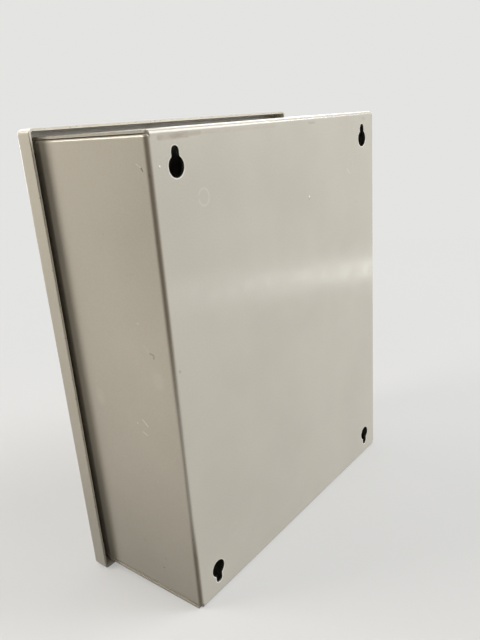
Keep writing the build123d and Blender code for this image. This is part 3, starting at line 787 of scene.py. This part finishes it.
def zinc_plate():
    """Bright zinc plating, cloudy and tinted in patches, with dull spots and rubbed edges."""
    material, tree, place = start_material("zinc_plate")
    tint = patches(tree, place, 220.0, 1.0)
    colour = lay(tree, calc(tree, "MULTIPLY", tint, 0.5), ZINC, STRAW)
    dull = patches(tree, place, 700.0, 0.4)
    pointed = add(tree, "ShaderNodeNewGeometry").outputs["Pointiness"]
    edge = span(tree, pointed, *SHARP_EDGE)
    colour = lay(tree, calc(tree, "MULTIPLY", dull, 0.6), colour, OXIDE)
    colour = lay(tree, calc(tree, "MULTIPLY", edge, 0.5), colour, WORN_TIP)
    rough = span(tree, noise(tree, place, 900.0, 3.0), *NOISE_RANGE, *BRIGHT)
    rough = calc(tree, "MULTIPLY_ADD", dull, 0.2, calc(tree, "MULTIPLY_ADD", edge, -0.1, rough))
    height = calc(tree, "MULTIPLY", noise(tree, place, CLOUDS), CLOUD_HEIGHT)
    finish(tree, colour, rough, height, Metallic=1.0)
    return material


zinc = zinc_plate()
finish_nodes(latch_chrome(), "latch_housing", "latch_plug")
finish_nodes(zinc, "panel_washers", "panel_nuts", "ground_washer", "ground_nut", "hinge_pin",
             "door_ground_washer", "door_ground_nut", "latch_nut", "latch_cam", "latch_cam_washer",
             "latch_cam_nut")

# %% [markdown]
# ## Threads by Geometry Nodes
# A thread is a zigzag profile that climbs by one pitch a turn. The tree starts from a flat grid: its
# columns go once round the rod and its rows follow the profile, four to each turn, for the two corners
# of the crest and the two of the root. Moving the grid's points onto the helix makes the thread, and
# its two side seams meet, each row on the one four further up. Rows past an end are held at it, and a
# round lid closes each end. A profile turned by a Screw modifier would also do, but its ends stay open
# and ragged, and here each size is an input that the studs can set for themselves.

# %% Helpers for trees of geometry
SHARP_ANGLE = math.radians(35)
SEAM_REACH = 0.002 * MM


def new_tree(name, **sockets):
    """A Geometry Nodes tree with the named inputs, a geometry in and a geometry out."""
    tree = bpy.data.node_groups.new(name, "GeometryNodeTree")
    tree.interface.new_socket("Geometry", in_out="INPUT", socket_type="NodeSocketGeometry")
    for label, kind in sockets.items():
        tree.interface.new_socket(label, in_out="INPUT", socket_type=kind)
    tree.interface.new_socket("Geometry", in_out="OUTPUT", socket_type="NodeSocketGeometry")
    return tree, add(tree, "NodeGroupInput").outputs


def position(tree):
    """The x, y and z of each point."""
    place = add(tree, "GeometryNodeInputPosition").outputs[0]
    return add(tree, "ShaderNodeSeparateXYZ", {0: place}).outputs


def joined(tree, *pieces):
    """Several pieces as one geometry."""
    whole = add(tree, "GeometryNodeJoinGeometry")
    for piece in pieces:
        tree.links.new(piece, whole.inputs[0])
    return whole.outputs[0]


def sealed(tree, piece):
    """The piece with points that lie on one another made one, so that its seams close."""
    return add(tree, "GeometryNodeMergeByDistance", {"Geometry": piece, "Distance": SEAM_REACH}).outputs[0]


def lifted(tree, piece, height):
    """The piece moved up by this height."""
    move = add(tree, "ShaderNodeCombineXYZ", {2: height}).outputs[0]
    return add(tree, "GeometryNodeTransform", {"Geometry": piece, "Translation": move}).outputs[0]


def disc(tree, radius, corners):
    """A flat round face that looks up."""
    sizes = {"Vertices": corners, "Radius": radius}
    return add(tree, "GeometryNodeMeshCircle", sizes, fill_type="NGON").outputs[0]


def rod(tree, radius, length, foot, corners):
    """A plain closed rod that stands on the height foot."""
    sizes = {"Vertices": corners, "Radius": radius, "Depth": length}
    piece = add(tree, "GeometryNodeMeshCylinder", sizes).outputs[0]
    return lifted(tree, piece, calc(tree, "MULTIPLY_ADD", length, 0.5, foot))


def place_copies(tree, given, piece):
    """Puts the piece at each point of the mesh that comes in, turned, with its material, as real faces."""
    points = add(tree, "GeometryNodeMeshToPoints", {0: given["Geometry"]}).outputs[0]
    sizes = {"Points": points, "Instance": piece, "Rotation": given["Turn"]}
    copies = add(tree, "GeometryNodeInstanceOnPoints", sizes).outputs[0]
    whole = add(tree, "GeometryNodeRealizeInstances", {0: copies}).outputs[0]
    sizes = {"Geometry": whole, "Material": given["Material"]}
    whole = add(tree, "GeometryNodeSetMaterial", sizes).outputs[0]
    add(tree, "NodeGroupOutput", {0: whole})


print("seams close within", round(SEAM_REACH / MM, 4), "mm")

# %% From a tree to a plain mesh


def bake(name, tree, places, body, stands_for, values):
    """Runs a tree on points at these places, keeps the result as a plain mesh and puts it on its body."""
    points = bpy.data.meshes.new(name + "_points")
    points.from_pydata([tuple(place) for place in places], [], [])
    source = bpy.data.objects.new(name + "_points", points)
    bpy.context.scene.collection.objects.link(source)
    modifier = source.modifiers.new(tree.name, "NODES")
    modifier.node_group = tree
    for item in tree.interface.items_tree:
        if item.in_out == "INPUT" and item.name in values:
            modifier[item.identifier] = values[item.name]
    result = source.evaluated_get(bpy.context.evaluated_depsgraph_get())
    mesh = bpy.data.meshes.new_from_object(result)
    mesh.name = name
    mesh.shade_smooth()
    mesh.set_sharp_from_angle(angle=SHARP_ANGLE)
    bpy.data.objects.remove(source)
    piece = bpy.data.objects.new(name, mesh)
    bpy.context.scene.collection.objects.link(piece)
    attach(piece, body)
    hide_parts(stands_for)
    print(name, len(places), "copies,", len(mesh.polygons), "faces")


# %% The thread's profile
AROUND = 32
THREAD_DEPTH = 0.6134    # of a pitch, from crest to root
PROFILE = (0.0, 1 / 8, 7 / 16, 11 / 16)    # of a pitch, crest's two corners and root's two corners
ROWS_A_TURN = len(PROFILE)
LAST_CREST_ROW = 1.5     # of a turn's rows 0 to 3, the first two are the crest


def helix_climb(tree, given):
    """For each point of the grid, its share of a turn, its height on the helix, and 1 on the crest."""
    x, y, _ = position(tree)
    turned = calc(tree, "ADD", x, 0.5)
    last_row = calc(tree, "SUBTRACT", given["Rows"], 1.0)
    row = calc(tree, "ROUND", calc(tree, "MULTIPLY", calc(tree, "ADD", y, 0.5), last_row))
    corner = calc(tree, "MODULO", row, ROWS_A_TURN)
    steps = add(tree, "GeometryNodeIndexSwitch", data_type="FLOAT")
    while len(steps.index_switch_items) < ROWS_A_TURN:
        steps.index_switch_items.new()
    tree.links.new(corner, steps.inputs[0])
    for number, share in enumerate(PROFILE):
        steps.inputs[number + 1].default_value = share
    turns = calc(tree, "FLOOR", calc(tree, "DIVIDE", row, ROWS_A_TURN))
    turns = calc(tree, "ADD", calc(tree, "ADD", turns, steps.outputs[0]), turned)
    climb = calc(tree, "MULTIPLY", calc(tree, "SUBTRACT", turns, 1.0), given["Pitch"])
    return turned, climb, calc(tree, "LESS_THAN", corner, LAST_CREST_ROW)


print("profile", PROFILE)

# %% The thread's tree


def thread_tree():
    """A collar and a threaded rod along +Z."""
    number = "NodeSocketFloat"
    tree, given = new_tree("threaded_stud", Radius=number, Pitch=number, Start=number, Length=number,
                           Chamfer=number, Rows="NodeSocketInt", CollarRadius=number,
                           Turn="NodeSocketRotation", Material="NodeSocketMaterial")
    sizes = {"Size X": 1.0, "Size Y": 1.0, "Vertices X": AROUND + 1, "Vertices Y": given["Rows"]}
    grid = add(tree, "GeometryNodeMeshGrid", sizes).outputs[0]
    turned, climb, on_crest = helix_climb(tree, given)
    level = calc(tree, "MINIMUM", calc(tree, "MAXIMUM", climb, 0.0), given["Length"])
    root = calc(tree, "SUBTRACT", given["Radius"], calc(tree, "MULTIPLY", given["Pitch"], THREAD_DEPTH))
    inside = calc(tree, "MULTIPLY", calc(tree, "GREATER_THAN", climb, 0.0),
                  calc(tree, "LESS_THAN", climb, given["Length"]))
    on_crest = calc(tree, "MULTIPLY", on_crest, inside)
    radius = span(tree, on_crest, 0.0, 1.0, root, given["Radius"], smooth=False)
    tip = calc(tree, "SUBTRACT", given["Radius"], given["Chamfer"])
    taper = calc(tree, "ADD", tip, calc(tree, "SUBTRACT", given["Length"], level))
    radius = calc(tree, "MINIMUM", radius, taper)
    angle = calc(tree, "MULTIPLY", turned, math.tau)
    sizes = {0: calc(tree, "MULTIPLY", radius, calc(tree, "COSINE", angle)),
             1: calc(tree, "MULTIPLY", radius, calc(tree, "SINE", angle)),
             2: calc(tree, "ADD", level, given["Start"])}
    helix = add(tree, "ShaderNodeCombineXYZ", sizes).outputs[0]
    thread = add(tree, "GeometryNodeSetPosition", {"Geometry": grid, "Position": helix}).outputs[0]
    lid = disc(tree, calc(tree, "MINIMUM", root, tip), AROUND)
    top_lid = lifted(tree, lid, calc(tree, "ADD", given["Start"], given["Length"]))
    foot_lid = add(tree, "GeometryNodeFlipFaces", {0: lifted(tree, lid, given["Start"])}).outputs[0]
    closed = sealed(tree, joined(tree, thread, top_lid, foot_lid))
    collar = rod(tree, given["CollarRadius"], given["Start"], 0.0, AROUND)
    place_copies(tree, given, joined(tree, closed, collar))
    return tree


threads = thread_tree()
print(threads.name, "has", len(threads.nodes), "nodes")

# %% Threaded studs
STUD_RADIUS, PITCH, TIP_CHAMFER = 3.0 * MM, 1.0 * MM, 0.6 * MM
COLLAR_RADIUS, COLLAR_LENGTH = 5.0 * MM, 9.5 * MM
FOOT_RADIUS, FOOT_LENGTH = 2.9 * MM, 0.5 * MM
TOWARDS_FRONT = (math.pi / 2, 0, 0)
TOWARDS_BACK = (-math.pi / 2, 0, 0)
TOWARDS_RIGHT = (0, math.pi / 2, 0)


def threaded(body, node, places, turn, length, collar_radius=FOOT_RADIUS, collar_length=FOOT_LENGTH):
    """Threaded studs in place of the plain ones, each from its foot along its own axis."""
    thread_length = length - collar_length
    rows = ROWS_A_TURN * (int(thread_length / PITCH) + 2) + 1
    values = {"Radius": STUD_RADIUS, "Pitch": PITCH, "Start": collar_length, "Length": thread_length,
              "Chamfer": TIP_CHAMFER, "Rows": rows, "CollarRadius": collar_radius, "Turn": turn,
              "Material": zinc}
    bake(node + "_threaded", threads, places, body, node, values)


low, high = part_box("panel_studs")
feet = [(x, high.y, z) for x in (low.x + COLLAR_RADIUS, high.x - COLLAR_RADIUS)
        for z in (low.z + COLLAR_RADIUS, high.z - COLLAR_RADIUS)]
threaded("case", "panel_studs", feet, TOWARDS_FRONT, high.y - low.y, COLLAR_RADIUS, COLLAR_LENGTH)
low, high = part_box("ground_stud")
foot = (low.x, (low.y + high.y) / 2, (low.z + high.z) / 2)
threaded("case", "ground_stud", [foot], TOWARDS_RIGHT, high.x - low.x)
low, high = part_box("door_ground_stud")
foot = ((low.x + high.x) / 2, low.y, (low.z + high.z) / 2)
threaded("door", "door_ground_stud", [foot], TOWARDS_BACK, high.y - low.y)

# %% [markdown]
# ## Domed rivets
# The CAD model's rivet heads are plain tapers. The real ones are low domes, pressed by the rivet gun's
# nose, and they catch a small round highlight. The tree takes a ball, keeps the half outside the leaf,
# flattens it to the head's height, and adds the shank and the tail inside. One dome could be shaped by
# hand and copied, but a tree follows the leaf when its size changes, and the same tree serves both
# leaves: the places and the material are handed to it.

# %% The rivet's tree
BALL_ROWS = 24
CUT_LEVEL = 0.001        # of the ball's radius, just over its middle row


def rivet_tree():
    """A rivet along +Z: its dome outside, from zero down, its shank and tail above."""
    number = "NodeSocketFloat"
    tree, given = new_tree("domed_rivet", HeadRadius=number, HeadHeight=number, ShankRadius=number,
                           Grip=number, TailRadius=number, TailHeight=number, Turn="NodeSocketRotation",
                           Material="NodeSocketMaterial")
    sizes = {"Segments": AROUND, "Rings": BALL_ROWS, "Radius": 1.0}
    ball = add(tree, "GeometryNodeMeshUVSphere", sizes).outputs[0]
    above = calc(tree, "GREATER_THAN", position(tree)[2], CUT_LEVEL)
    cap = add(tree, "GeometryNodeDeleteGeometry", {"Geometry": ball, "Selection": above}).outputs[0]
    sizes = {0: given["HeadRadius"], 1: given["HeadRadius"], 2: given["HeadHeight"]}
    scale = add(tree, "ShaderNodeCombineXYZ", sizes).outputs[0]
    cap = add(tree, "GeometryNodeTransform", {"Geometry": cap, "Scale": scale}).outputs[0]
    head = sealed(tree, joined(tree, cap, disc(tree, given["HeadRadius"], AROUND)))
    shank = rod(tree, given["ShankRadius"], given["Grip"], 0.0, AROUND)
    tail = rod(tree, given["TailRadius"], given["TailHeight"], given["Grip"], AROUND)
    place_copies(tree, given, joined(tree, head, shank, tail))
    return tree


rivets = rivet_tree()
print(rivets.name, "has", len(rivets.nodes), "nodes")

# %% Rivets
HEAD_HEIGHT, SHANK_RADIUS = 1.3 * MM, 1.6 * MM
TAIL_HEIGHT, TAIL_RADIUS = 1.2 * MM, 2.4 * MM
RIVETS_A_LEAF = 4
for body, node in (("case", "hinge_body_rivets"), ("door", "hinge_door_rivets")):
    low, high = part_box(node)
    head_radius = (high.y - low.y) / 2
    step = (high.z - low.z - 2 * head_radius) / (RIVETS_A_LEAF - 1)
    heights = [low.z + head_radius + i * step for i in range(RIVETS_A_LEAF)]
    places = [(low.x + HEAD_HEIGHT, (low.y + high.y) / 2, height) for height in heights]
    values = {"HeadRadius": head_radius, "HeadHeight": HEAD_HEIGHT, "ShankRadius": SHANK_RADIUS,
              "Grip": high.x - low.x - HEAD_HEIGHT - TAIL_HEIGHT, "TailRadius": TAIL_RADIUS,
              "TailHeight": TAIL_HEIGHT, "Turn": TOWARDS_RIGHT, "Material": rivet_enamel}
    bake(node + "_domed", rivets, places, body, node, values)
